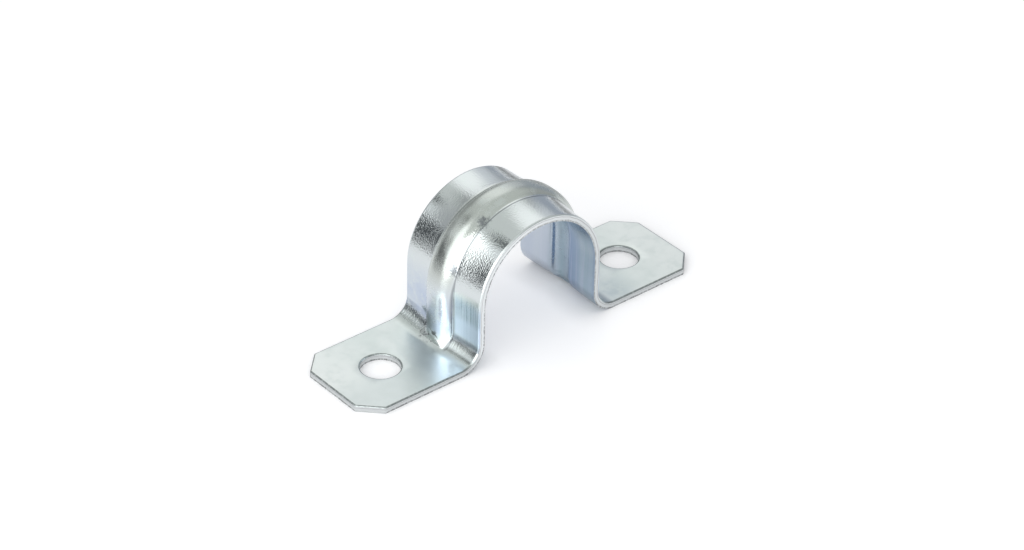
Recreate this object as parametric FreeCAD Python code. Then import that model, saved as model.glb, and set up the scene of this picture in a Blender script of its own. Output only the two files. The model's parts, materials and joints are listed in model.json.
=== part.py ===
import FreeCAD, Part
import math
import os

# One-piece conduit strap, stamped from sheet steel, in millimetres.
# X runs along the strap from foot to foot, Y along the conduit, Z up.
# The origin is midway between the feet, on the plane that their undersides rest on.

# The hoop that holds the conduit
CONDUIT_DIAMETER = 17.93        # half-inch thin-wall conduit
SEAT_CLEARANCE = 0.035          # play between the conduit and the hoop, on the radius
CLAMPING = 0.365                # the hoop stands this much too low, to grip the conduit

# The sheet
SHEET = 0.91                    # 20 gauge
STRAP_WIDTH = 14.6
EDGE_EASE = 0.26                # 45 degree ease all round the upper edge

# The feet
HOLE_SPACING = 39.6             # centre to centre
HOLE_DIAMETER = 5.2
HOLE_EASE = 0.12                # the same, on the upper mouth of each hole
FOOT_PAST_HOLE = 7.55           # from the hole's centre to the foot's end
CORNER_CUT = 2.7                # 45 degree cut on each corner
CORNER_ROUND = 0.4              # where the cut meets the foot's sides and end
FOOT_BEND = 2.7                 # radius of the bend from leg to foot, on the upper side

# The bead pressed out along the middle of the hoop and down both legs
BEAD_HALF_WIDTH = 2.38          # at its shoulders
BEAD_RISE_CROWN = 1.0           # above the strap, at the top of the hoop
BEAD_RISE_LEG = 1.6             # above the strap, on the legs
BEAD_ARCH = 1.05                # height of the arched top over the shoulders
BEAD_DRAFT = 8.0                # degrees that each side wall leans outwards
SHOULDER_ROUND = 0.35           # between arched top and side wall
GROOVE_CORNER = 0.15            # the same corner, inside the groove
CREASE_ROUND = 0.2              # between side wall and strap

# Each end of the bead is pinched into a hipped nose on the foot's bend. A steep facet in
# front and a sloping facet on each side meet at a tip on the crest, and their corners
# stand on the bend.
NOSE_HALF_WIDTH = 2.45          # at the corners
NOSE_OUTSTAND = 0.25            # of the front corners, past the crest
NOSE_LENGTH = 1.46              # from the front corners to the back corners
NOSE_RISE = 0.95                # from the front corners up to the tip

# Worked out from the sizes above
SEAT_RADIUS = CONDUIT_DIAMETER / 2 + SEAT_CLEARANCE
SEAT_AXIS_HEIGHT = CONDUIT_DIAMETER / 2 - CLAMPING
OUTER_RADIUS = SEAT_RADIUS + SHEET
HALF_WIDTH = STRAP_WIDTH / 2
HALF_LENGTH = HOLE_SPACING / 2 + FOOT_PAST_HOLE
BEND_X = OUTER_RADIUS + FOOT_BEND
BEND_Z = SHEET + FOOT_BEND
CREST_RADIUS = OUTER_RADIUS + BEAD_RISE_LEG
CREST_AXIS_HEIGHT = SEAT_AXIS_HEIGHT - (BEAD_RISE_LEG - BEAD_RISE_CROWN)
ARCH_RADIUS = (BEAD_HALF_WIDTH ** 2 + BEAD_ARCH ** 2) / (2 * BEAD_ARCH)
NOSE_END = CREST_RADIUS + NOSE_OUTSTAND
CROWN_HEIGHT = CREST_AXIS_HEIGHT + CREST_RADIUS

# Construction
MARGIN = 2.0                    # how far a cutting shape runs past what it cuts
FORM_DEPTH = 3.0                # the forms are solid down to this depth under the feet
TOUCHING = 1e-4                 # distances under this count as contact

UP = FreeCAD.Vector(0, 0, 1)
ALONG_STRAP = FreeCAD.Vector(1, 0, 0)
ALONG_CONDUIT = FreeCAD.Vector(0, 1, 0)


def point(x, y, z):
    return FreeCAD.Vector(x, y, z)


def line(start, end):
    return Part.LineSegment(start, end).toShape()


def arc(start, through, end):
    return Part.Arc(start, through, end).toShape()


def round_point(x, z, radius, degrees):
    """A point on a circle in the XZ plane, at an angle from +X towards +Z."""
    turn = math.radians(degrees)
    return point(x + radius * math.cos(turn), 0, z + radius * math.sin(turn))


def opposite_foot(place):
    return point(-place.x, place.y, place.z)


def opposite_side(place):
    return point(place.x, -place.y, place.z)


# The bent sheet

def skin_edges(inset, half_length):
    """One face of the bent sheet, seen along the conduit, from foot to foot.

    The inset is its depth under the upper face: 0 for that face, SHEET for the underside.
    """
    hoop = OUTER_RADIUS - inset
    bend = FOOT_BEND + inset
    foot_end = point(half_length, 0, SHEET - inset)
    foot_start = point(BEND_X, 0, SHEET - inset)
    bend_middle = round_point(BEND_X, BEND_Z, bend, 225)
    leg_bottom = point(hoop, 0, BEND_Z)
    leg_top = point(hoop, 0, SEAT_AXIS_HEIGHT)
    crown = point(0, 0, SEAT_AXIS_HEIGHT + hoop)
    left_foot_start = opposite_foot(foot_start)
    left_leg_bottom = opposite_foot(leg_bottom)
    left_leg_top = opposite_foot(leg_top)
    return [
        line(opposite_foot(foot_end), left_foot_start),
        arc(left_foot_start, opposite_foot(bend_middle), left_leg_bottom),
        line(left_leg_bottom, left_leg_top),
        arc(left_leg_top, crown, leg_top),
        line(leg_top, leg_bottom),
        arc(leg_bottom, bend_middle, foot_start),
        line(foot_start, foot_end),
    ]


def bent_block(inset, half_length, half_width, bottom):
    """Everything under one face of the bent sheet, down to a flat bottom."""
    right_end = point(half_length, 0, SHEET - inset)
    right_bottom = point(half_length, 0, bottom)
    edges = skin_edges(inset, half_length)
    edges.append(line(right_end, right_bottom))
    edges.append(line(right_bottom, opposite_foot(right_bottom)))
    edges.append(line(opposite_foot(right_bottom), opposite_foot(right_end)))
    profile = Part.Face(Part.Wire(edges))
    profile.translate(ALONG_CONDUIT * -half_width)
    return profile.extrude(ALONG_CONDUIT * 2 * half_width)


# The bead

def shoulder(inset, wall_out, wall_down):
    """Where the arched top meets the side wall, with both set in by the inset."""
    on_wall = point(0, BEAD_HALF_WIDTH, -BEAD_ARCH) - wall_out * inset
    from_arch_centre = on_wall + UP * ARCH_RADIUS
    along = from_arch_centre.dot(wall_down)
    radius = ARCH_RADIUS - inset
    reach = math.sqrt(along ** 2 - from_arch_centre.dot(from_arch_centre) + radius ** 2)
    return on_wall - wall_down * (along + reach)


def bead_section(inset, corner_round):
    """The bead's cross-section in the YZ plane, with its outer crest at the origin.

    Set in by the sheet's thickness, it is the section of the groove behind the bead.
    """
    draft = math.radians(BEAD_DRAFT)
    wall_out = point(0, math.cos(draft), math.sin(draft))
    wall_down = point(0, math.sin(draft), -math.cos(draft))
    corner_centre = shoulder(inset + corner_round, wall_out, wall_down)
    arch_out = (corner_centre + UP * ARCH_RADIUS).normalize()
    halfway_out = (arch_out + wall_out).normalize()
    arch_end = corner_centre + arch_out * corner_round
    corner_middle = corner_centre + halfway_out * corner_round
    wall_top = corner_centre + wall_out * corner_round
    wall_bottom = wall_top + wall_down * (BEAD_RISE_LEG + SHEET)
    left_arch_end = opposite_side(arch_end)
    left_wall_top = opposite_side(wall_top)
    left_wall_bottom = opposite_side(wall_bottom)
    return Part.Face(Part.Wire([
        arc(left_arch_end, UP * -inset, arch_end),
        arc(arch_end, corner_middle, wall_top),
        line(wall_top, wall_bottom),
        line(wall_bottom, left_wall_bottom),
        line(left_wall_bottom, left_wall_top),
        arc(left_wall_top, opposite_side(corner_middle), left_arch_end),
    ]))


def bead(inset, corner_round):
    """The bead, or the groove behind it, swept up one leg, over the hoop and down."""
    leg_bottom = point(CREST_RADIUS, 0, -MARGIN)
    leg_top = point(CREST_RADIUS, 0, CREST_AXIS_HEIGHT)
    left_leg_bottom = opposite_foot(leg_bottom)
    left_leg_top = opposite_foot(leg_top)
    crest = Part.Wire([
        line(left_leg_bottom, left_leg_top),
        arc(left_leg_top, point(0, 0, CROWN_HEIGHT), leg_top),
        line(leg_top, leg_bottom),
    ])
    section = bead_section(inset, corner_round)
    section.rotate(point(0, 0, 0), ALONG_CONDUIT, -90)
    section.translate(left_leg_bottom)
    return crest.makePipe(section)


# The bead's noses

def on_bend(x, y):
    """The place at x and y on the upper face of the right foot's bend."""
    return point(x, y, BEND_Z - math.sqrt(FOOT_BEND ** 2 - (BEND_X - x) ** 2))


def behind(first, second, third, inset):
    """A large block behind the plane through three places, and set back from it.

    The places run anticlockwise, seen from in front of the plane.
    """
    size = 2 * HALF_LENGTH
    outward = (second - first).cross(third - first)
    block = Part.makeBox(size, size, size, point(-size / 2, -size / 2, -size - inset))
    block.Placement = FreeCAD.Placement(first, FreeCAD.Rotation(UP, outward))
    return block


def nose(inset):
    """The right foot's nose, or the hollow behind it."""
    front_corner = on_bend(NOSE_END, NOSE_HALF_WIDTH)
    back_corner = on_bend(NOSE_END - NOSE_LENGTH, NOSE_HALF_WIDTH)
    tip = point(CREST_RADIUS, 0, front_corner.z + NOSE_RISE)
    half_width = NOSE_HALF_WIDTH - inset
    start = point(SEAT_RADIUS - MARGIN, -half_width, -MARGIN)
    solid = Part.makeBox(BEND_X - start.x, 2 * half_width, BEND_Z + MARGIN, start)
    near_front = opposite_side(front_corner)
    near_back = opposite_side(back_corner)
    solid = solid.common(behind(tip, near_front, front_corner, inset))
    solid = solid.common(behind(tip, front_corner, back_corner, inset))
    return solid.common(behind(tip, near_back, near_front, inset))


# The two forms that the sheet is pressed between

def lies_within(half_width, edge):
    return all(abs(place.y) < half_width for place in edge.discretize(5))


def lies_on(surface, edge):
    return all(surface.distToShape(Part.Vertex(place))[0] < TOUCHING
               for place in edge.discretize(5))


def form(inset, corner_round, half_length, half_width, bottom):
    """A solid whose top is one face of the beaded strap.

    The crease along each side of the bead is rounded about the same line on both faces,
    so its radius grows by the inset.
    """
    block = bent_block(inset, half_length, half_width, bottom)
    solid = block.fuse(bead(inset, corner_round)).removeSplitter()
    block_surface = Part.Compound(block.Faces)
    creases = [edge for edge in solid.Edges
               if lies_within(half_width - MARGIN, edge) and lies_on(block_surface, edge)]
    solid = solid.makeFillet(CREASE_ROUND + inset, creases)
    right_nose = nose(inset)
    left_nose = right_nose.mirror(point(0, 0, 0), ALONG_STRAP)
    return solid.fuse([right_nose, left_nose])


# The blank's outline and holes

def plan_outline(bottom, top):
    """A prism with the strap's outline as seen from above: a long rectangle, corners cut."""
    cut_start = point(HALF_LENGTH - CORNER_CUT, HALF_WIDTH, bottom)
    cut_end = point(HALF_LENGTH, HALF_WIDTH - CORNER_CUT, bottom)
    far_corners = [cut_end, cut_start, opposite_foot(cut_start), opposite_foot(cut_end)]
    near_corners = [opposite_side(corner) for corner in reversed(far_corners)]
    corners = far_corners + near_corners
    outline = Part.Face(Part.makePolygon(corners + [corners[0]]))
    prism = outline.extrude(UP * (top - bottom))
    upright = [edge for edge in prism.Edges if edge.BoundBox.ZLength > MARGIN]
    return prism.makeFillet(CORNER_ROUND, upright)


def eased_rim(outer):
    """The outer form with the whole upper edge of the strap eased."""
    def on_rim(place):
        beside = abs(place.y) > HALF_WIDTH - TOUCHING
        at_foot_end = abs(place.x) > HALF_LENGTH - CORNER_CUT - CORNER_ROUND
        return place.z > SHEET - TOUCHING and (beside or at_foot_end)

    rim = [edge for edge in outer.Edges if all(on_rim(place) for place in edge.discretize(5))]
    return outer.makeChamfer(EDGE_EASE, rim)


def punched(strap, centre_x):
    """The strap with one screw hole, its upper mouth eased."""
    start = point(centre_x, 0, -MARGIN)
    punch = Part.makeCylinder(HOLE_DIAMETER / 2, SHEET + 2 * MARGIN, start, UP)
    holed = strap.cut(punch)
    mouth_centre = point(centre_x, 0, SHEET)
    mouth = [edge for edge in holed.Edges
             if (edge.CenterOfMass - mouth_centre).Length < TOUCHING]
    return holed.makeChamfer(HOLE_EASE, mouth)


def make_strap():
    outer = form(0, SHOULDER_ROUND, HALF_LENGTH, HALF_WIDTH, -FORM_DEPTH)
    outer = outer.common(plan_outline(-FORM_DEPTH - MARGIN, CROWN_HEIGHT + MARGIN))
    outer = eased_rim(outer)
    inner = form(SHEET, GROOVE_CORNER, HALF_LENGTH + MARGIN, HALF_WIDTH + MARGIN,
                 -FORM_DEPTH - MARGIN)
    strap = outer.cut(inner)
    for centre_x in (-HOLE_SPACING / 2, HOLE_SPACING / 2):
        strap = punched(strap, centre_x)
    return strap


os.makedirs("parts", exist_ok=True)
strap = make_strap()
strap.exportStep("parts/strap.step")
print("solids", len(strap.Solids), "valid", strap.isValid(), "volume", round(strap.Volume, 2))
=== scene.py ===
import json
import math

import bmesh
import bpy
import numpy as np
from bpy.props import (
    FloatProperty,
    FloatVectorProperty,
    PointerProperty,
)
from mathutils import Matrix, Vector


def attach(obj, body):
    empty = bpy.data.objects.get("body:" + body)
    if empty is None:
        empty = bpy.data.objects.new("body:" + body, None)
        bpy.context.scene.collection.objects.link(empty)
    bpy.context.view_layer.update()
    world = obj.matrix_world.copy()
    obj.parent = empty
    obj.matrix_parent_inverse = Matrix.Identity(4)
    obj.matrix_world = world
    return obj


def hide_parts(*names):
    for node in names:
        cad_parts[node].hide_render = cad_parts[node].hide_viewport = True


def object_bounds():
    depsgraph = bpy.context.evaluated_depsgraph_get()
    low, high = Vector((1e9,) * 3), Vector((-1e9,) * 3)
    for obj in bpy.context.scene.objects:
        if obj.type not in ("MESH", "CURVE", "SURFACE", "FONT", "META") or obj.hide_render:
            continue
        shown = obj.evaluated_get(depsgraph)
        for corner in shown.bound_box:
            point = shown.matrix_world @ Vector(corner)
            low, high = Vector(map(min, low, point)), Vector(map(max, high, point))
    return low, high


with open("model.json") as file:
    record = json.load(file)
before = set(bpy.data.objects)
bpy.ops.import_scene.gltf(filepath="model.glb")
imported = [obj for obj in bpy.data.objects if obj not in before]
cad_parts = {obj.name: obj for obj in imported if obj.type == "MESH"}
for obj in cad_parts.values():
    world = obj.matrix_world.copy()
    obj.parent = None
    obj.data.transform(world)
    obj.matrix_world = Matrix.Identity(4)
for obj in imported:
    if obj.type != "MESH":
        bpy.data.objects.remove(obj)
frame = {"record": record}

bl_info = {
    "name": "Conduit Strap",
    "version": (1, 0, 0),
    "blender": (4, 5, 0),
    "location": "3D View > Sidebar > Strap",
    "description": "Finishes a stamped, zinc plated conduit strap and lights it",
    "category": "Object",
}

CAD_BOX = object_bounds()


# Places on the strap, in metres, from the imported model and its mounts

def mount(name):
    """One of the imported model's mounts."""
    return next(each for each in frame["record"]["mounts"] if each["name"] == name)


SEAT_RADIUS = mount("conduit_seat")["dims"]["r_mm"] / 1000
SEAT_HEIGHT = mount("conduit_seat")["pos_m"][2]
HOLE_X = mount("screw_holes")["dims"]["spacing_x_mm"] / 2000
HOLE_RADIUS = mount("screw_holes")["dims"]["hole_r_mm"] / 1000
HALF_LENGTH = CAD_BOX[1].x
HALF_WIDTH = CAD_BOX[1].y


# ---------------------------------------------------------------- sizes and colours

def length(name, description, millimetres):
    """A size of the strap, in metres, shown to a hundredth of a millimetre."""
    return FloatProperty(name=name, description=description, default=millimetres / 1000,
                         min=0.0, precision=5, unit="LENGTH", subtype="DISTANCE")


class StrapShape(bpy.types.PropertyGroup):
    sheet: length("Sheet", "Thickness of the sheet", 0.91)
    roll: length("Rolled rim", "Radius that the shears roll on the upper rims", 0.18)
    foot_bend: length("Foot bend", "Radius from leg to foot, on the upper side", 2.7)
    corner_cut: length("Corner cut", "Length of the cut on each corner of the feet", 2.7)
    bead_half_width: length("Bead half width", "From the bead's middle to its side", 2.38)
    bead_rise_crown: length("Bead rise, crown", "Height of the bead on top of the hoop", 0.99)
    bead_rise_leg: length("Bead rise, leg", "Height of the bead on the legs", 1.6)
    bead_arch: length("Bead arch", "Height of the bead's arched top over its sides", 1.05)
    bead_squareness: FloatProperty(
        name="Bead squareness", description="2 is a round arch; more is flat with round shoulders",
        default=3.2, min=1.5, max=8.0)
    band_lift: length("Band lift", "How far the bands rise towards the bead", 0.32)
    nose_half_width: length("Nose half width", "From the nose's tip to its corners", 2.45)
    nose_outstand: length("Nose outstand", "Of the nose's front, past the crest", 0.25)
    nose_length: length("Nose length", "From the nose's front to its back corners", 1.46)
    nose_rise: length("Nose rise", "From the nose's front corners to its tip", 0.95)


class ZincFinish(bpy.types.PropertyGroup):
    zinc: FloatVectorProperty(
        name="Zinc", description="Colour of the plating", subtype="COLOR", size=3,
        min=0.0, max=1.0, default=(0.80, 0.85, 0.85))
    blue: FloatVectorProperty(
        name="Blue passivate", description="Tint of the plating where its clear blue film is thick",
        subtype="COLOR", size=3, min=0.0, max=1.0, default=(0.56, 0.65, 0.80))
    green: FloatVectorProperty(
        name="Green passivate", description="Tint of the plating where the film is thin",
        subtype="COLOR", size=3, min=0.0, max=1.0, default=(0.80, 0.87, 0.85))
    under: FloatVectorProperty(
        name="Under side", description="Tint of the plating inside the hoop and under the feet",
        subtype="COLOR", size=3, min=0.0, max=1.0, default=(0.38, 0.48, 0.56))
    shear: FloatVectorProperty(
        name="Cut edge", description="Colour of the plated cut edges", subtype="COLOR",
        size=3, min=0.0, max=1.0, default=(0.77, 0.80, 0.80))
    roughness: FloatProperty(
        name="Roughness", description="Roughness of the bright plating on the hoop",
        default=0.09, min=0.0, max=1.0, subtype="FACTOR")
    satin: FloatProperty(
        name="Satin roughness", description="Roughness of the bead and feet, rubbed by the dies",
        default=0.30, min=0.0, max=1.0, subtype="FACTOR")
    grain_size: FloatProperty(
        name="Grain size", description="Width of one grain of the pebbled plating",
        default=0.00021, min=0.00005, precision=5, unit="LENGTH", subtype="DISTANCE")
    grain_depth: FloatProperty(
        name="Grain depth", description="Height of the pebbled grain", default=0.000040,
        min=0.0, precision=6, unit="LENGTH", subtype="DISTANCE")
    streak_width: FloatProperty(
        name="Streak width", description="Width of the streaks drawn along the sheet",
        default=0.00035, min=0.00005, precision=5, unit="LENGTH", subtype="DISTANCE")
    streak_depth: FloatProperty(
        name="Streak depth", description="Height of the drawn streaks", default=0.000012,
        min=0.0, precision=6, unit="LENGTH", subtype="DISTANCE")
    wrinkle_depth: FloatProperty(
        name="Wrinkle depth", description="Height of the wrinkles on the stretched bends",
        default=0.00004, min=0.0, precision=6, unit="LENGTH", subtype="DISTANCE")


class StudioSetup(bpy.types.PropertyGroup):
    azimuth: FloatProperty(
        name="Azimuth", description="Turn of the camera round the strap",
        default=math.radians(-40.491), subtype="ANGLE")
    elevation: FloatProperty(
        name="Elevation", description="Height of the camera above the horizon",
        default=math.radians(34.210), subtype="ANGLE")
    roll: FloatProperty(
        name="Roll", description="Turn of the camera about its own line of sight",
        default=math.radians(1.309), subtype="ANGLE")
    distance: FloatProperty(
        name="Distance", description="From the camera to the middle of the strap",
        default=0.426077, min=0.05, precision=4, unit="LENGTH", subtype="DISTANCE")
    aim: FloatVectorProperty(
        name="Aim", description="Camera's place beside its line to the strap's middle",
        size=3, precision=5, subtype="TRANSLATION", default=(0.001066, -0.00137, 0.008))
    lens: FloatProperty(
        name="Lens", description="Focal length in millimetres", default=118.1,
        min=10.0, max=400.0)
    floor_size: FloatProperty(
        name="Floor", description="Width of the floor", default=4.0, min=0.5,
        unit="LENGTH", subtype="DISTANCE")
    floor_colour: FloatVectorProperty(
        name="Floor colour", description="Colour of the pale floor", subtype="COLOR",
        size=3, min=0.0, max=1.0, default=(0.50, 0.50, 0.505))
    floor_glow: FloatProperty(
        name="Floor glow", description="How much the lit floor shines by itself",
        default=0.45, min=0.0)
    softbox_light: FloatProperty(
        name="Softbox", description="Brightness of the large softbox", default=2.2, min=0.0)


# ---------------------------------------------------------------- node helpers

def add_node(tree, kind, **settings):
    """A new shader node, with its own properties set."""
    node = tree.nodes.new(kind)
    for name, value in settings.items():
        setattr(node, name, value)
    return node


def feed(tree, value, socket):
    """Links a socket to another, or sets it where the value is a plain one."""
    if isinstance(value, bpy.types.NodeSocket):
        tree.links.new(value, socket)
    else:
        socket.default_value = value


def maths(tree, operation, first, second=0.0, third=0.0):
    node = add_node(tree, "ShaderNodeMath", operation=operation)
    for value, socket in zip((first, second, third), node.inputs):
        feed(tree, value, socket)
    return node.outputs[0]


def product(tree, *values):
    """Values multiplied together."""
    result = values[0]
    for value in values[1:]:
        result = maths(tree, "MULTIPLY", result, value)
    return result


def blend(tree, factor, first, second):
    """A mix of two colours."""
    node = add_node(tree, "ShaderNodeMix", data_type="RGBA")
    feed(tree, factor, node.inputs[0])
    feed(tree, first, node.inputs[6])
    feed(tree, second, node.inputs[7])
    return node.outputs[2]


def lay(tree, base, amount, tint):
    """A colour with an amount of a plain tint laid over it."""
    return blend(tree, amount, base, colour(tint))


def fade(tree, value, low, high, start=0.0, end=1.0):
    """A smooth step from start to end as the value goes from low to high."""
    node = add_node(tree, "ShaderNodeMapRange", interpolation_type="SMOOTHSTEP")
    for each, socket in zip((value, low, high, start, end), node.inputs):
        feed(tree, each, socket)
    return node.outputs[0]


def stripe(tree, value, middle, outer, inner):
    """One where the value is near the middle, and nought beyond the outer distance from it."""
    off = maths(tree, "ABSOLUTE", maths(tree, "SUBTRACT", value, middle))
    return fade(tree, off, outer, inner)


def distance(tree, place, point):
    """How far a place is from a point."""
    node = add_node(tree, "ShaderNodeVectorMath", operation="DISTANCE")
    feed(tree, place, node.inputs[0])
    node.inputs[1].default_value = point
    return node.outputs["Value"]


def noise(tree, place, scale, detail=2.0, roughness=0.5):
    node = add_node(tree, "ShaderNodeTexNoise")
    feed(tree, place, node.inputs["Vector"])
    node.inputs["Scale"].default_value = scale
    node.inputs["Detail"].default_value = detail
    node.inputs["Roughness"].default_value = roughness
    return node.outputs["Fac"]


def stretched(tree, place, scale):
    """The place with each of its axes scaled."""
    node = add_node(tree, "ShaderNodeMapping")
    feed(tree, place, node.inputs["Vector"])
    node.inputs["Scale"].default_value = scale
    return node.outputs[0]


def spot(tree, place, centre, radius, ragged):
    """A soft round mark about a point, its rim made ragged by a noise."""
    ragged_rim = maths(tree, "MULTIPLY_ADD", ragged, 2.4 * radius, distance(tree, place, centre))
    return fade(tree, ragged_rim, 2.4 * radius, 1.3 * radius)


def bump(tree, height, depth, under=None):
    node = add_node(tree, "ShaderNodeBump")
    node.inputs["Distance"].default_value = depth
    feed(tree, height, node.inputs["Height"])
    if under is not None:
        feed(tree, under, node.inputs["Normal"])
    return node.outputs[0]


def colour(value):
    return (*value, 1.0)


def new_material(name):
    """An empty material and its shader."""
    material = bpy.data.materials.new(name)
    material.use_nodes = True
    tree = material.node_tree
    shader = tree.nodes["Principled BSDF"]
    shader.inputs["Metallic"].default_value = 1.0
    return material, tree, shader


# ---------------------------------------------------------------- finishes

# Tints of the plating that aren't the maker's to change, from the feet up; several of them are
# painted shade and painted light, as marked
FOOT_END = (0.93, 0.97, 0.95)
# painted shade on the feet beside the legs
FOOT_SHADE_BY_LEG = (0.46, 0.54, 0.59)
FOOT_CLOUD = (0.92, 0.96, 0.95)
FOOT_NEAR_HALF = (0.68, 0.75, 0.75)
# painted shade lines along the bends
BEND_FOLD_SHADE = (0.30, 0.34, 0.38)
BEND_HEEL_SHADE = (0.48, 0.53, 0.56)
# painted shade on the crest of the bead on top of the hoop
BEAD_CREST_SHADE = (0.68, 0.725, 0.69)
DRAWN_LEG = (0.52, 0.64, 0.76)
DRAWN_DARK = (0.38, 0.50, 0.59)
DRAWN_LIGHT = (0.80, 0.88, 0.97)
PALE_LOW_LEG = (0.73, 0.84, 1.0)
# painted shade in the near crease and on the legs' crests
CREASE_SHADE_LINE = (0.16, 0.18, 0.20)
CREST_PAINTED_SHADE = (0.34, 0.39, 0.42)
DARK_MARK = (0.24, 0.26, 0.28)
NOSE_PIT = (0.16, 0.18, 0.19)
# painted shade along the rolled rims of the feet and holes
RIM_PAINTED_SHADE = (0.28, 0.31, 0.31)
UNDER_BLUE = (0.27, 0.37, 0.53)
UNDER_TEAL = (0.32, 0.46, 0.51)
UNDER_ROW = (0.52, 0.57, 0.70)
# painted shade under the crown, and painted light on the far half of the under side
UNDER_CROWN_SHADE = (0.20, 0.32, 0.42)
UNDER_FAR_HALF_LIGHT = (0.72, 0.77, 0.84)

# Where the hoop and the near foot were knocked, and how far each mark reaches, in metres
DARK_MARKS = (
    ((-0.0098, -0.0021, 0.0124), 0.0011),
    ((-0.0052, -0.0021, 0.0176), 0.0009),
    ((-0.0092, -0.0056, 0.0013), 0.0003),
)


class Skin:
    """The places and noises on the plated skin that its tints and its relief go by."""

    def __init__(self, tree):
        self.tree = tree
        self.place = add_node(tree, "ShaderNodeTexCoord").outputs["Object"]
        self.strip = add_node(tree, "ShaderNodeUVMap", uv_map="strip").outputs[0]
        axes = add_node(tree, "ShaderNodeSeparateXYZ")
        feed(tree, self.place, axes.inputs[0])
        self.x, self.y, self.height = (axes.outputs[axis] for axis in "XYZ")
        self.side = maths(tree, "ABSOLUTE", self.y)
        self.beyond = maths(tree, "ABSOLUTE", self.x)
        self.cloud = noise(tree, self.place, 220.0, 3.0, 0.55)
        self.patch = noise(tree, self.place, 700.0, 3.0, 0.6)
        self.ragged = noise(tree, self.place, 2600.0, 3.0, 0.7)
        self.foot = fade(tree, self.height, 0.0017, 0.0010)
        self.bend = product(tree, fade(tree, self.height, 0.0008, 0.0015),
                            fade(tree, self.height, 0.0038, 0.0027))
        self.off_bead = fade(tree, self.side, 0.0024, 0.0028)

    def streaks(self, finish):
        """The fine streaks that drawing the sheet left along it."""
        lane = stretched(self.tree, self.strip, (60.0, 1.0 / finish.streak_width, 1.0))
        return noise(self.tree, lane, 1.0, 3.0, 0.65)


def outline(skin):
    """How far past the feet's cut edges a place is, holes too: nought on them, less inside."""
    tree = skin.tree
    corner_cut = bpy.context.scene.strap_shape.corner_cut
    gone = maths(tree, "MAXIMUM", maths(tree, "SUBTRACT", skin.beyond, HALF_LENGTH),
                 maths(tree, "SUBTRACT", skin.side, HALF_WIDTH))
    corner = maths(tree, "SUBTRACT", maths(tree, "ADD", skin.beyond, skin.side),
                   HALF_LENGTH + HALF_WIDTH - corner_cut)
    gone = maths(tree, "MAXIMUM", gone, maths(tree, "MULTIPLY", corner, math.sqrt(0.5)))
    across = maths(tree, "SUBTRACT", skin.beyond, HOLE_X)
    away = maths(tree, "SQRT", maths(tree, "ADD", maths(tree, "MULTIPLY", across, across),
                                     maths(tree, "MULTIPLY", skin.side, skin.side)))
    return maths(tree, "MAXIMUM", gone, maths(tree, "SUBTRACT", HOLE_RADIUS, away))


def tint_feet(skin, tint):
    """Feet that pale towards their ends, take painted shade beside the legs and cloud over."""
    tree = skin.tree
    to_end = fade(tree, skin.beyond, 0.0170, 0.0260, 0.0, 0.75)
    tint = lay(tree, tint, product(tree, skin.foot, to_end), FOOT_END)
    # painted shade on the feet where they meet the legs
    by_leg = product(tree, skin.foot, fade(tree, skin.x, 0.0190, 0.0125, 0.0, 0.75),
                     fade(tree, skin.x, 0.0, 0.0100))
    tint = lay(tree, tint, by_leg, FOOT_SHADE_BY_LEG)
    clouded = fade(tree, skin.cloud, 0.42, 0.62, 0.0, 0.35)
    tint = lay(tree, tint, product(tree, skin.foot, clouded), FOOT_CLOUD)
    near_half = product(tree, skin.foot, fade(tree, skin.y, 0.0015, -0.0035),
                        fade(tree, skin.x, 0.0, -0.0100), 0.5)
    return lay(tree, tint, near_half, FOOT_NEAR_HALF)


def tint_bends(skin, tint):
    """Painted shade: a dark line where the sheet folds above each bend, and a faint one at its
    heel.
    """
    tree = skin.tree
    # painted shade in a line above each bend, and a fainter one at its heel
    fold = product(tree, stripe(tree, skin.height, 0.0029, 0.0006, 0.0002), skin.off_bead, 0.85)
    tint = lay(tree, tint, fold, BEND_FOLD_SHADE)
    heel = product(tree, stripe(tree, skin.height, 0.0016, 0.0003, 0.0001), skin.off_bead,
                   0.85 * 0.4)
    return lay(tree, tint, heel, BEND_HEEL_SHADE)


def tint_film(skin, tint, finish):
    """Painted shade on the satin crest of the bead atop the hoop, and the clear film, bluest low on
    the legs, where its blue also paints the legs darker downward.
    """
    tree = skin.tree
    # painted shade on the crest of the bead on top of the hoop
    on_crest = product(tree, fade(tree, skin.side, 0.0026, 0.0020),
                       fade(tree, skin.height, 0.0080, 0.0110))
    tint = lay(tree, tint, on_crest, BEAD_CREST_SHADE)
    low_leg = product(tree, fade(tree, skin.height, 0.0014, 0.0034),
                      fade(tree, skin.height, 0.0115, 0.0040))
    # the clear blue film, laid on heaviest low on the legs, is partly painted shade that darkens
    # them downward
    film_and_shade = product(tree, fade(tree, skin.cloud, 0.30, 0.65, 0.45, 1.0), low_leg,
                     fade(tree, skin.y, -0.0034, -0.0020, 0.2, 1.0))
    tint = lay(tree, tint, film_and_shade, finish.blue)
    return lay(tree, tint, fade(tree, skin.patch, 0.48, 0.70, 0.0, 0.5), finish.green)


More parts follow.
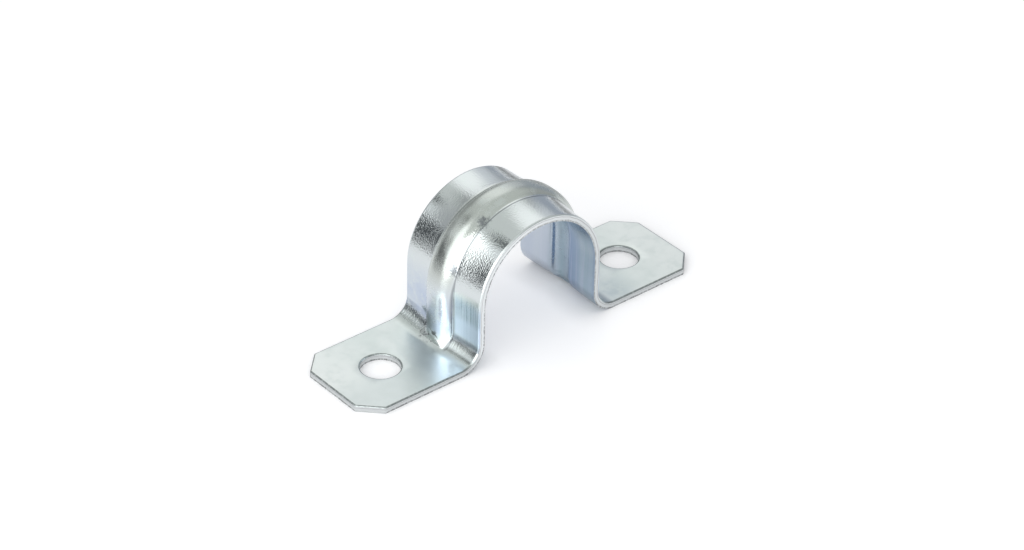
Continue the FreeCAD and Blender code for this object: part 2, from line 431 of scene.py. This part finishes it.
def tint_near_legs(skin, tint, streak):
    """The near bands of the legs, drawn into dark and light streaks, and paler and bluer low down.
    """
    tree = skin.tree
    drawn = product(tree, fade(tree, skin.y, -0.0026, -0.0030),
                    fade(tree, skin.height, 0.0025, 0.0045),
                    fade(tree, skin.height, 0.0098, 0.0080))
    tint = lay(tree, tint, product(tree, drawn, 0.85), DRAWN_LEG)
    tint = lay(tree, tint, product(tree, drawn, fade(tree, streak, 0.50, 0.60)), DRAWN_DARK)
    tint = lay(tree, tint, product(tree, drawn, fade(tree, streak, 0.44, 0.36)), DRAWN_LIGHT)
    # a paler, bluer tint low on the near bands of the legs
    paled_low = product(tree, fade(tree, skin.y, -0.0026, -0.0031),
                     fade(tree, skin.height, 0.0068, 0.0054),
                     fade(tree, skin.height, 0.0030, 0.0038), 0.85)
    return lay(tree, tint, paled_low, PALE_LOW_LEG)


def tint_bead_foot(skin, tint, under):
    """Painted shade: a dark line in the near crease, wider low down, and a dark patch on the far
    half of the legs' crests.
    """
    tree = skin.tree
    reach = fade(tree, skin.height, 0.0120, 0.0070, 0.00012, 0.00034)
    # painted shade in the near crease, wider low down
    in_crease = product(tree, stripe(tree, skin.y, -0.0025, reach, product(tree, reach, 0.35)),
                        fade(tree, skin.height, 0.0010, 0.0013), 0.2 if under else 0.6)
    tint = lay(tree, tint, in_crease, CREASE_SHADE_LINE)
    # painted shade on the far half of the legs' crests, low down
    crest_shade = product(tree, fade(tree, skin.height, 0.0060, 0.0040),
                     fade(tree, skin.y, -0.0009, 0.0008), fade(tree, skin.side, 0.0027, 0.0023),
                     fade(tree, skin.height, 0.0022, 0.0034), 0.95)
    return lay(tree, tint, crest_shade, CREST_PAINTED_SHADE)


def tint_wear_and_rim_shade(skin, tint):
    """Dark marks on the hoop and foot, pits on the noses, and painted shade along the feet's rims
    and round the holes.
    """
    tree = skin.tree
    for centre, radius in DARK_MARKS:
        mark = spot(tree, skin.place, centre, radius, skin.ragged)
        tint = lay(tree, tint, product(tree, mark, 0.9), DARK_MARK)
    nose = product(tree, fade(tree, skin.side, 0.0030, 0.0022),
                   fade(tree, skin.y, -0.0014, -0.0006), fade(tree, skin.height, 0.0009, 0.0012),
                   fade(tree, skin.height, 0.0032, 0.0024))
    pits = fade(tree, noise(tree, skin.place, 1500.0, 2.0, 0.5), 0.56, 0.62)
    tint = lay(tree, tint, product(tree, nose, pits), NOSE_PIT)
    # painted shade along the feet's rolled rims and round the holes, its strength ragged
    ragged_rim = product(tree, fade(tree, outline(skin), -0.00024, -0.00012), skin.foot,
                   fade(tree, skin.ragged, 0.30, 0.55, 0.45, 0.9))
    return lay(tree, tint, ragged_rim, RIM_PAINTED_SHADE)


def tint_under_side(skin, tint, finish):
    """The duller side, banded blue and teal along the sheet, with painted shade darkest under the
    crown and painted light on the far half.
    """
    tree = skin.tree
    bands = noise(tree, stretched(tree, skin.strip, (8.0, 240.0, 1.0)), 1.0, 1.0, 0.5)
    rows = noise(tree, stretched(tree, skin.strip, (40.0, 1500.0, 1.0)), 1.0, 2.0, 0.6)
    tint = lay(tree, tint, 0.85, finish.under)
    tint = lay(tree, tint, fade(tree, bands, 0.48, 0.64, 0.0, 0.9), UNDER_BLUE)
    tint = lay(tree, tint, fade(tree, bands, 0.46, 0.32, 0.0, 0.8), UNDER_TEAL)
    tint = lay(tree, tint, fade(tree, rows, 0.52, 0.66, 0.0, 0.35), UNDER_ROW)
    # painted shade under the crown
    tint = lay(tree, tint, fade(tree, skin.height, 0.0090, 0.0130, 0.0, 0.75), UNDER_CROWN_SHADE)
    # painted light on the far half of the under side
    return lay(tree, tint, fade(tree, skin.y, 0.0005, 0.0030, 0.0, 0.7), UNDER_FAR_HALF_LIGHT)


def rubbed_by_dies(skin):
    """How satin the skin is: the bead, the feet, the outer rims and the bends beside the bead."""
    tree = skin.tree
    on_bead = product(tree, fade(tree, skin.side, 0.0023, 0.0017),
                      fade(tree, skin.height, 0.0020, 0.0040))
    rubbed = maths(tree, "MAXIMUM", product(tree, on_bead, 0.7), skin.foot)
    rubbed = maths(tree, "MAXIMUM", rubbed, fade(tree, skin.side, 0.00700, 0.00716))
    return maths(tree, "MAXIMUM", rubbed, product(tree, skin.bend, skin.off_bead, 0.5))


def plating_grain(skin, finish, rubbed):
    """The pebbled grain: frosted on the left shoulder, faint elsewhere, least where rubbed."""
    tree = skin.tree
    grain = noise(tree, skin.place, 1.0 / finish.grain_size, 1.0, 0.5)
    frosted = product(tree, fade(tree, skin.height, 0.0108, 0.0120),
                      fade(tree, skin.height, 0.0160, 0.0148),
                      fade(tree, skin.side, 0.0024, 0.0030), fade(tree, skin.x, -0.0020, -0.0040))
    frosted = product(tree, fade(tree, frosted, 0.0, 1.0, 0.42, 1.0),
                      fade(tree, skin.height, 0.0026, 0.0040, 0.45, 1.0))
    return product(tree, grain, frosted, fade(tree, rubbed, 0.0, 1.0, 1.0, 0.35))


def zinc_relief(skin, finish, streak, rubbed):
    """The skin's normal: grain, drawn streaks, and wrinkles where the bends stretched it."""
    tree = skin.tree
    relief = bump(tree, plating_grain(skin, finish, rubbed), finish.grain_depth)
    leg = product(tree, fade(tree, skin.height, 0.0010, 0.0030),
                  fade(tree, skin.height, 0.0100, 0.0060))
    relief = bump(tree, product(tree, streak, maths(tree, "ADD", leg, 0.12)),
                  finish.streak_depth, relief)
    wrinkle = noise(tree, stretched(tree, skin.strip, (1500.0, 3000.0, 1.0)), 1.0, 2.0, 0.6)
    wrinkled = product(tree, wrinkle, skin.bend, fade(tree, skin.y, -0.0030, 0.0030, 0.15, 1.0))
    return bump(tree, wrinkled, finish.wrinkle_depth, relief)


def zinc_skin(finish, under=False):
    """Bright zinc plating over rolled sheet: pebbled grain, drawn streaks, tinted film, and painted
    shade and painted light.
    """
    material, tree, shader = new_material("zinc_under_side" if under else "zinc_skin")
    skin = Skin(tree)
    streak = skin.streaks(finish)
    tint = blend(tree, fade(tree, skin.height, 0.0010, 0.0040), colour(finish.green),
                 colour(finish.zinc))
    tint = tint_feet(skin, tint)
    tint = tint_bends(skin, tint)
    tint = tint_film(skin, tint, finish)
    tint = tint_near_legs(skin, tint, streak)
    tint = tint_bead_foot(skin, tint, under)
    tint = tint_wear_and_rim_shade(skin, tint)
    if under:
        tint = tint_under_side(skin, tint, finish)
    feed(tree, tint, shader.inputs["Base Color"])

    rubbed = rubbed_by_dies(skin)
    rough = blend(tree, rubbed, colour([finish.roughness] * 3), colour([finish.satin] * 3))
    rough = maths(tree, "ADD", rough, fade(tree, skin.patch, 0.35, 0.70, 0.0, 0.06))
    feed(tree, rough, shader.inputs["Roughness"])
    feed(tree, zinc_relief(skin, finish, streak, rubbed), shader.inputs["Normal"])
    return material


def sheared_edge(finish):
    """The plated cut edge: a smooth burnished band over a torn, striated one, with painted light on
    its left and painted shade low down.
    """
    material, tree, shader = new_material("sheared_edge")
    strip = add_node(tree, "ShaderNodeUVMap", uv_map="strip").outputs[0]
    down_wall = add_node(tree, "ShaderNodeSeparateXYZ")
    feed(tree, strip, down_wall.inputs[0])
    ragged = noise(tree, stretched(tree, strip, (900.0, 300.0, 1.0)), 1.0, 2.0)
    depth = maths(tree, "MULTIPLY_ADD", ragged, 0.00025, down_wall.outputs["Y"])
    score = stripe(tree, depth, 0.00045, 0.00007, 0.00002)
    torn = fade(tree, depth, 0.00078, 0.00088)
    tears = noise(tree, stretched(tree, strip, (3800.0, 1500.0, 1.0)), 1.0, 3.0, 0.6)

    def shaded(amount):
        return colour([amount * each for each in finish.shear])

    place = add_node(tree, "ShaderNodeSeparateXYZ")
    feed(tree, add_node(tree, "ShaderNodeTexCoord").outputs["Object"], place.inputs[0])
    # painted light on the hoop's left edge, and painted shade on the edges low down
    low = fade(tree, place.outputs["Z"], 0.0030, 0.0010)
    bright = blend(tree, fade(tree, place.outputs["X"], 0.0080, -0.0060), shaded(1.0),
                   shaded(1.22))
    bright = blend(tree, low, bright, shaded(0.98))
    tint = blend(tree, product(tree, score, 0.65), bright, shaded(0.45))
    dirt = fade(tree, tears, 0.40, 0.58, 0.25, 1.0)
    tint = blend(tree, product(tree, torn, dirt), tint,
                 blend(tree, low, shaded(0.55), shaded(0.38)))
    feed(tree, tint, shader.inputs["Base Color"])
    shader.inputs["Metallic"].default_value = 0.96
    feed(tree, fade(tree, torn, 0.0, 1.0, 0.28, 0.45), shader.inputs["Roughness"])
    relief = bump(tree, product(tree, tears, maths(tree, "ADD", torn, 0.3)), 0.00002)
    feed(tree, relief, shader.inputs["Normal"])
    return material


# ---------------------------------------------------------------- the blank

class Lengths:
    """Distances along the sheet's middle, from the crown to each of its bends and edges."""

    def __init__(self, shape):
        self.hoop = SEAT_RADIUS + shape.sheet / 2
        self.bend = shape.foot_bend + shape.sheet / 2
        self.bend_x = SEAT_RADIUS + shape.sheet + shape.foot_bend
        self.bend_z = shape.sheet + shape.foot_bend
        self.leg_top = self.hoop * math.pi / 2
        self.leg_bottom = self.leg_top + SEAT_HEIGHT - self.bend_z
        self.foot = self.leg_bottom + self.bend * math.pi / 2
        self.hole = self.foot + HOLE_X - self.bend_x
        self.end = self.foot + HALF_LENGTH - self.bend_x


def spaced(stops):
    """Evenly spaced places between stops, each given with the number of steps up to it."""
    places = [0.0]
    for stop, steps in stops:
        places += list(np.linspace(places[-1], stop, steps + 1)[1:])
    places = np.array(places)
    return np.concatenate([-places[:0:-1], places])


def cut_sheet(shape, lengths):
    """A flat sheet of even squares, as long and wide as the strap, finest beside the bead."""
    window = 0.85 * HOLE_RADIUS
    rows = spaced([
        (lengths.leg_top, 36), (lengths.leg_bottom, 14), (lengths.foot, 42),
        (lengths.hole - window, 14), (lengths.hole + window, 12),
        (lengths.end - shape.corner_cut, 7), (lengths.end, 8)])
    columns = spaced([(window, 15), (window + 0.0011, 16), (HALF_WIDTH - 0.0003, 11),
                      (HALF_WIDTH, 1)])
    bm = bmesh.new()
    bmesh.ops.create_grid(bm, x_segments=len(rows) - 1, y_segments=len(columns) - 1, size=1)
    for vert in bm.verts:
        vert.co.x = rows[round((vert.co.x + 1) / 2 * (len(rows) - 1))]
        vert.co.y = columns[round((vert.co.y + 1) / 2 * (len(columns) - 1))]
    pierce(bm, lengths, window)
    border = 0.0003
    start = lengths.end - shape.corner_cut
    for vert in bm.verts:
        past = abs(vert.co.x) - start
        if past > 0:
            inner = HALF_WIDTH - border
            beyond = max(abs(vert.co.y) - inner, 0) / border
            drawn = min(1, past / border) * 0.5 + 1
            edge = HALF_WIDTH - past
            across = (min(abs(vert.co.y), inner) / inner * (edge - drawn * border)
                      + beyond * drawn * border)
            vert.co.y = math.copysign(across, vert.co.y)
    return bm


def pierce(bm, lengths, window):
    """Opens a square window at each screw hole, and rounds it by drawing the squares round it."""
    def offset(place):
        side = math.copysign(lengths.hole, place.x)
        return place.x - side, place.y

    inside = [face for face in bm.faces
              if max(map(abs, offset(face.calc_center_median()))) < window]
    bmesh.ops.delete(bm, geom=inside, context="FACES")
    reach = lengths.end - lengths.hole - 0.0028
    for vert in bm.verts:
        along, across = offset(vert.co)
        square = max(abs(along), abs(across))
        if square < reach:
            centre_away = math.hypot(along, across)
            limit = reach * centre_away / square
            far = max((square - window) / (reach - window), 0) ** 0.4
            scale = (HOLE_RADIUS + far * (limit - HOLE_RADIUS)) / centre_away
            vert.co.x += along * (scale - 1)
            vert.co.y = across * scale


def sheared_blank(shape, lengths):
    """The flat blank: upper rims rolled by the shears, and walls cut."""
    bm = cut_sheet(shape, lengths)
    for vert in bm.verts:
        vert.co.z = -shape.roll
    bm.normal_update()
    upper = list(bm.faces)
    bmesh.ops.solidify(bm, geom=upper, thickness=shape.sheet - shape.roll)
    bm.normal_update()
    top = max(vert.co.z for vert in bm.verts)
    for vert in bm.verts:
        vert.co.z -= top + shape.roll
    upper = [face for face in bm.faces if face.normal.z > 0.5]
    for face in bm.faces:
        face.material_index = 0 if face.normal.z > 0.5 else 2 if face.normal.z < -0.5 else 1

    upright = [edge for edge in bm.edges
               if abs(edge.verts[0].co.z - edge.verts[1].co.z) > shape.sheet / 3]
    bmesh.ops.subdivide_edges(bm, edges=upright, cuts=2)

    bmesh.ops.scale(bm, verts=bm.verts, vec=(1000, 1000, 1000))
    turn = 0.0
    for next_turn in (30, 60, 90):
        start, end = math.radians(turn), math.radians(next_turn)
        ring = bmesh.ops.inset_region(
            bm, faces=upper, use_boundary=True, use_even_offset=True,
            thickness=1000 * shape.roll * (math.cos(start) - math.cos(end)),
            depth=1000 * shape.roll * (math.sin(end) - math.sin(start)))
        for face in ring["faces"]:
            face.material_index = 0
        turn = next_turn
    bmesh.ops.scale(bm, verts=bm.verts, vec=(0.001, 0.001, 0.001))
    return bm


# ---------------------------------------------------------------- the forming dies

def skin(along, depth, shape, lengths):
    """Where the bent sheet lies, one half of the strap, at distances from the crown.

    Gives x, z, the outward direction's x and z, and the turn round the foot's bend.
    """
    outer = SEAT_RADIUS + shape.sheet
    hoop_turn = np.clip(along / lengths.hoop, 0, math.pi / 2)
    bend_turn = np.clip((along - lengths.leg_bottom) / lengths.bend, 0, math.pi / 2)
    on_hoop = along <= lengths.leg_top
    on_leg = ~on_hoop & (along <= lengths.leg_bottom)
    on_bend = ~on_hoop & ~on_leg & (along <= lengths.foot)
    reach = outer - depth
    round_bend = shape.foot_bend + depth
    x = np.select(
        [on_hoop, on_leg, on_bend],
        [reach * np.sin(hoop_turn), reach, lengths.bend_x - round_bend * np.cos(bend_turn)],
        lengths.bend_x + along - lengths.foot)
    z = np.select(
        [on_hoop, on_leg, on_bend],
        [SEAT_HEIGHT + reach * np.cos(hoop_turn), SEAT_HEIGHT - (along - lengths.leg_top),
         lengths.bend_z - round_bend * np.sin(bend_turn)],
        shape.sheet - depth)
    out_x = np.where(on_hoop, np.sin(hoop_turn), np.cos(bend_turn))
    out_z = np.where(on_hoop, np.cos(hoop_turn), np.sin(bend_turn))
    return x, z, out_x, out_z, bend_turn


def crest_height(along, turn, depth, shape, lengths):
    """How far the bead's crest stands off the skin."""
    outer = SEAT_RADIUS + shape.sheet
    crest = outer + shape.bead_rise_leg
    drop = shape.bead_rise_leg - shape.bead_rise_crown
    if along < lengths.leg_top:
        hoop_turn = along / lengths.hoop
        return (math.sqrt(crest ** 2 - (drop * math.sin(hoop_turn)) ** 2)
                - drop * math.cos(hoop_turn) - outer)
    beyond = lengths.bend_x - crest
    return shape.foot_bend + depth - (beyond + depth) / max(math.cos(turn), 0.02)


def nose_height(y, x, z, out_x, out_z, depth, shape, lengths):
    """How far the hipped nose stands off the skin on the bend, at places across it."""
    def on_bend(from_middle):
        across = lengths.bend_x - from_middle
        return lengths.bend_z - math.sqrt(shape.foot_bend ** 2 - across ** 2)

    crest = SEAT_RADIUS + shape.sheet + shape.bead_rise_leg
    front = crest + shape.nose_outstand
    back = front - shape.nose_length
    half = shape.nose_half_width
    front_corner = Vector((front, half, on_bend(front)))
    back_corner = Vector((back, half, on_bend(back)))
    tip = Vector((crest, 0, front_corner.z + shape.nose_rise))
    facing_front = Vector((front_corner.z - tip.z, 0, tip.x - front)).normalized()
    if facing_front.x < 0:
        facing_front.negate()
    facing_side = (front_corner - tip).cross(back_corner - tip).normalized()
    low = np.full_like(y, -1.0)
    high = np.full_like(y, 1.0)
    for facing in (facing_front, facing_side):
        climb = out_x * facing.x + out_z * facing.z
        gap = -depth - ((x - tip.x) * facing.x + (y - tip.y) * facing.y
                        + (z - tip.z) * facing.z)
        if climb > 1e-6:
            high = np.minimum(high, gap / climb)
        elif climb < -1e-6:
            low = np.maximum(low, gap / climb)
    stands = (high > low) & (high > 0) & (y < half - depth)
    return np.where(stands, high, 0.0)


def smoothed(line, window):
    """A line of evenly spaced places, with its corners rounded over a window of places."""
    count = max(1, window // 2)
    weights = np.hanning(2 * count + 3)[1:-1]
    weights /= weights.sum()
    start = line[1:count + 1][::-1] * (-1, 1)
    end = 2 * line[-1] - line[-count - 1:-1][::-1]
    padded = np.concatenate([start, line, end])
    return np.stack([np.convolve(padded[:, axis], weights, "valid") for axis in (0, 1)], 1)


def die_row(along, depth, shape, lengths, places):
    """One face of the pressed sheet across the strap, from the middle: y and height."""
    x, z, out_x, out_z, turn = (float(each) for each in skin(
        np.array(along), depth, shape, lengths))
    lean = math.tan(math.radians(8))
    if depth:
        arch = 0.60 * shape.bead_arch
        half = shape.bead_half_width - 0.84 * shape.sheet
    else:
        arch = shape.bead_arch
        half = shape.bead_half_width
    flat = 1.0 / max(math.cos(turn), 0.02)
    crest = crest_height(along, turn, depth, shape, lengths)

    over = np.linspace(0, half, 90)
    top = crest - flat * arch * (over / half) ** shape.bead_squareness
    shoulder = top[-1]
    down = np.linspace(0, 1, 30)[1:]
    wall_y = half + down * max(shoulder, 0) * lean
    wall_h = shoulder * (1 - down)
    band = np.linspace(wall_y[-1], HALF_WIDTH, 120)[1:]
    y = np.concatenate([over, wall_y, band])
    height = np.concatenate([top, wall_h, np.zeros_like(band)])

    round_bend = (along - lengths.leg_bottom) / (lengths.foot - lengths.leg_bottom)
    still_leg = 1 - min(max(round_bend, 0), 1)
    rise = np.clip((HALF_WIDTH - y) / (HALF_WIDTH - shape.bead_half_width), 0, 1)
    lift = shape.band_lift * still_leg * rise ** 2.2
    height = np.maximum(height, lift)
    if 0 < turn < math.pi / 2:
        height = np.maximum(height, nose_height(
            y, x, z, out_x, out_z, depth, shape, lengths))

    run = np.concatenate([[0], np.cumsum(np.hypot(np.diff(y), np.diff(height)))])
    even = np.linspace(0, run[-1], 481)
    line = np.stack([np.interp(even, run, y), np.interp(even, run, height)], 1)
    step = run[-1] / 480
    fine = smoothed(line, int(0.00034 / step))
    if depth:
        wide = smoothed(line, int(0.0014 / step))
        far = np.clip((fine[:, :1] - half + 0.0002) / 0.0004, 0, 1)
        fine = fine * (1 - far) + wide * far
    return np.stack([np.interp(places * run[-1], even, fine[:, axis]) for axis in (0, 1)], 1)


def press(bm, shape, lengths):
    """Bends the blank over the hoop and down to the feet, and presses the bead into it."""
    spacing = 0.0001
    alongs = np.arange(0, lengths.end + 2 * spacing, spacing)
    places = np.linspace(0, 1, 241)
    dies = np.array([[die_row(along, depth, shape, lengths, places) for along in alongs]
                     for depth in (0.0, shape.sheet)])
    for _ in range(3):
        dies[:, 1:-1] = (dies[:, :-2] + 2 * dies[:, 1:-1] + dies[:, 2:]) / 4

    flat = np.array([vert.co for vert in bm.verts])
    along = np.abs(flat[:, 0])
    across = np.abs(flat[:, 1]) / HALF_WIDTH
    down = np.clip(-flat[:, 2] / shape.sheet, 0, 1)
    row = np.clip(along / spacing, 0, len(alongs) - 1.001)
    column = np.clip(across * (len(places) - 1), 0, len(places) - 1.001)
    i, j = row.astype(int), column.astype(int)
    u, v = (row - i)[:, None], (column - j)[:, None]

    def pressed(face):
        return ((1 - u) * ((1 - v) * dies[face, i, j] + v * dies[face, i, j + 1])
                + u * ((1 - v) * dies[face, i + 1, j] + v * dies[face, i + 1, j + 1]))

    section = pressed(0) * (1 - down[:, None]) + pressed(1) * down[:, None]
    x, z, out_x, out_z, _ = skin(along, down * shape.sheet, shape, lengths)
    height = section[:, 1]
    for index, vert in enumerate(bm.verts):
        vert.co = (math.copysign(x[index] + out_x[index] * height[index], flat[index, 0]),
                   math.copysign(section[index, 0], flat[index, 1]),
                   z[index] + out_z[index] * height[index])


class OBJECT_OT_strap_body(bpy.types.Operator):
    """Shears, pierces and presses the strap from flat sheet, and plates it"""
    bl_idname = "object.strap_body"
    bl_label = "Strap Body"

    def execute(self, context):
        shape = context.scene.strap_shape
        finish = context.scene.strap_finish
        lengths = Lengths(shape)
        bm = sheared_blank(shape, lengths)
        strip = bm.loops.layers.uv.new("strip")
        for face in bm.faces:
            face.smooth = True
            for loop in face.loops:
                x, y, z = loop.vert.co
                loop[strip].uv = (x - abs(y), -z) if face.material_index == 1 else (x, y)
        press(bm, shape, lengths)
        bmesh.ops.recalc_face_normals(bm, faces=bm.faces)
        if bm.calc_volume(signed=True) < 0:
            bmesh.ops.reverse_faces(bm, faces=bm.faces)
        for edge in bm.edges:
            sides = {face.material_index for face in edge.link_faces}
            edge.smooth = sides != {1, 2}
        mesh = bpy.data.meshes.new("strap_body")
        bm.to_mesh(mesh)
        bm.free()
        mesh.materials.append(zinc_skin(finish))
        mesh.materials.append(sheared_edge(finish))
        mesh.materials.append(zinc_skin(finish, under=True))
        body = bpy.data.objects.new("strap_body", mesh)
        context.scene.collection.objects.link(body)
        weighting = body.modifiers.new("face weights", "WEIGHTED_NORMAL")
        weighting.keep_sharp = True
        weighting.weight = 50
        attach(body, "root")
        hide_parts("strap")
        return {"FINISHED"}


# ---------------------------------------------------------------- the studio

# Soft round patches on the room's walls, which the plating mirrors. Each is laid over those
# before it: azimuth and elevation of its middle, inner and outer reach of its soft rim, in
# degrees, and its colour. The pale ones light the shoulders, and the dark ones draw the lines.
WALL_PATCHES = (
    (66, 6, 10, 30, (0.34, 0.37, 0.43)),
    (8, 22, 10, 26, (0.33, 0.34, 0.34)),
    (42, 22, 3, 14, (0.62, 0.64, 0.68)),
    (30, 40, 5, 21, (1.00, 1.01, 1.01)),
    (-97, 14, 29, 35, (1.50, 1.51, 1.51)),
    (-40, 35, 3, 10, (0.74, 0.76, 0.77)),
    (-75, 38, 20, 24, (1.50, 1.51, 1.51)),
    (-68, 22, 8, 12, (1.50, 1.51, 1.51)),
    (-54, 1, 5, 12, (0.06, 0.065, 0.07)),
    (-43, 11, 6, 15, (0.06, 0.065, 0.07)),
    (-28, 46, 1, 8, (0.04, 0.045, 0.05)),
)

# Shaded patches of floor, seen only in the plating: a middle, and where the shade starts and ends
FLOOR_SHADES = (
    ((-0.15, 0.17, 0.0), 0.08, 0.19),
    ((0.12, 0.10, 0.0), 0.05, 0.12),
)


def facing(azimuth, elevation):
    """The direction at an azimuth from +Y towards +X, and an elevation above the horizon."""
    level = math.cos(elevation)
    return Vector((math.sin(azimuth) * level, math.cos(azimuth) * level, math.sin(elevation)))


def lobe(tree, direction, base, azimuth, elevation, inner, outer, tint):
    """The surroundings' colour with a soft round patch of another colour."""
    node = add_node(tree, "ShaderNodeVectorMath", operation="DOT_PRODUCT")
    feed(tree, direction, node.inputs[0])
    node.inputs[1].default_value = facing(math.radians(azimuth), math.radians(elevation))
    inside = fade(tree, node.outputs["Value"], math.cos(math.radians(outer)),
                  math.cos(math.radians(inner)))
    return blend(tree, inside, base, colour(tint))


def surroundings(scene):
    """The room round the softbox: grey walls, darker near the floor, with soft patches."""
    world = bpy.data.worlds.new("studio_room")
    world.use_nodes = True
    scene.world = world
    tree = world.node_tree
    direction = add_node(tree, "ShaderNodeTexCoord").outputs["Generated"]
    axes = add_node(tree, "ShaderNodeSeparateXYZ")
    feed(tree, direction, axes.inputs[0])
    up = axes.outputs["Z"]
    walls = blend(tree, fade(tree, up, 0.45, 0.75), colour((0.39, 0.40, 0.41)),
                  colour((0.60, 0.62, 0.61)))
    for azimuth, elevation, inner, outer, tint in WALL_PATCHES:
        walls = lobe(tree, direction, walls, azimuth, elevation, inner, outer, tint)
    feed(tree, walls, tree.nodes["Background"].inputs["Color"])


def softbox(name, azimuth, elevation, away, width, height, light):
    """A soft rectangular light that faces the strap."""
    lamp = bpy.data.lights.new(name, "AREA")
    lamp.shape = "RECTANGLE"
    lamp.size = width
    lamp.size_y = height
    lamp.energy = light * math.pi * width * height
    box = bpy.data.objects.new(name, lamp)
    towards = facing(math.radians(azimuth), math.radians(elevation))
    box.location = towards * away
    box.rotation_euler = towards.to_track_quat("Z", "Y").to_euler()
    box.visible_camera = False
    bpy.context.scene.collection.objects.link(box)
    return box


def pale_floor(setup):
    """A pale floor that glows a little by itself as painted light, with a painted shadow where the
    strap is close to it.
    """
    bm = bmesh.new()
    bmesh.ops.create_grid(bm, x_segments=1, y_segments=1, size=setup.floor_size / 2)
    mesh = bpy.data.meshes.new("floor")
    bm.to_mesh(mesh)
    bm.free()
    floor = bpy.data.objects.new("floor", mesh)
    material = bpy.data.materials.new("pale_floor")
    material.use_nodes = True
    tree = material.node_tree
    shader = tree.nodes["Principled BSDF"]
    shader.inputs["Roughness"].default_value = 0.6
    shader.inputs["Specular IOR Level"].default_value = 0.2
    seen = add_node(tree, "ShaderNodeLightPath").outputs["Is Camera Ray"]
    place = add_node(tree, "ShaderNodeTexCoord").outputs["Object"]
    open_floor = 1.0
    for middle, start, end in FLOOR_SHADES:
        open_floor = maths(tree, "MINIMUM", open_floor,
                           fade(tree, distance(tree, place, middle), start, end))
    shaded = blend(tree, open_floor, colour([0.25 * each for each in setup.floor_colour]),
                   colour(setup.floor_colour))
    # camera rays see a brighter floor than the plating mirrors
    feed(tree, blend(tree, seen, shaded, colour((0.75, 0.75, 0.75))),
         shader.inputs["Base Color"])
    glow = blend(tree, maths(tree, "MAXIMUM", open_floor, seen), colour((0.25, 0.25, 0.26)),
                 colour((0.975, 0.965, 1.0)))
    feed(tree, glow, shader.inputs["Emission Color"])
    # painted contact shadow: the floor's glow dims close to the strap
    contact_shadow = add_node(tree, "ShaderNodeAmbientOcclusion", samples=8)
    contact_shadow.inputs["Distance"].default_value = 0.004
    feed(tree, maths(tree, "MULTIPLY", contact_shadow.outputs["AO"], setup.floor_glow),
         shader.inputs["Emission Strength"])
    mesh.materials.append(material)
    bpy.context.scene.collection.objects.link(floor)


def camera_frame(setup):
    """The camera's axes as the columns of a turn: right, up and back."""
    back = Vector((math.sin(setup.azimuth) * math.cos(setup.elevation),
                   -math.cos(setup.azimuth) * math.cos(setup.elevation),
                   math.sin(setup.elevation)))
    right = Vector((math.cos(setup.azimuth), math.sin(setup.azimuth), 0.0))
    up = back.cross(right)
    turn = Matrix((right, up, back)).transposed()
    return turn @ Matrix.Rotation(setup.roll, 3, "Z")


class SCENE_OT_strap_studio(bpy.types.Operator):
    """Sets the pale floor, the soft lights, the room and the camera"""
    bl_idname = "scene.strap_studio"
    bl_label = "Strap Studio"

    def execute(self, context):
        setup = context.scene.strap_studio
        pale_floor(setup)
        surroundings(context.scene)
        softbox("key_softbox", -127, 16, 0.6, 0.95, 0.50, setup.softbox_light)

        turn = camera_frame(setup)
        camera = bpy.data.cameras.new("camera")
        camera.lens = setup.lens
        camera.sensor_width = 36.0
        camera.clip_start = 0.01
        eye = bpy.data.objects.new("camera", camera)
        eye.location = (Vector((0, 0, setup.aim[2])) + turn.col[0] * setup.aim[0]
                        + turn.col[1] * setup.aim[1] + turn.col[2] * setup.distance)
        eye.rotation_euler = turn.to_euler()
        context.scene.collection.objects.link(eye)
        context.scene.camera = eye
        context.scene.view_settings.view_transform = "Standard"
        return {"FINISHED"}


# ---------------------------------------------------------------- panel and registration

class VIEW3D_PT_strap(bpy.types.Panel):
    bl_label = "Conduit Strap"
    bl_space_type = "VIEW_3D"
    bl_region_type = "UI"
    bl_category = "Strap"

    def draw(self, context):
        scene = context.scene
        for group in (scene.strap_shape, scene.strap_finish, scene.strap_studio):
            box = self.layout.box()
            for name in group.__annotations__:
                box.prop(group, name)
        self.layout.operator("object.strap_body")
        self.layout.operator("scene.strap_studio")


CLASSES = (StrapShape, ZincFinish, StudioSetup, OBJECT_OT_strap_body,
           SCENE_OT_strap_studio, VIEW3D_PT_strap)


def register():
    for each in CLASSES:
        bpy.utils.register_class(each)
    bpy.types.Scene.strap_shape = PointerProperty(type=StrapShape)
    bpy.types.Scene.strap_finish = PointerProperty(type=ZincFinish)
    bpy.types.Scene.strap_studio = PointerProperty(type=StudioSetup)


def unregister():
    del bpy.types.Scene.strap_studio
    del bpy.types.Scene.strap_finish
    del bpy.types.Scene.strap_shape
    for each in reversed(CLASSES):
        bpy.utils.unregister_class(each)


def main():
    register()
    bpy.ops.object.strap_body()
    bpy.ops.scene.strap_studio()


if __name__ == "__main__":
    main()
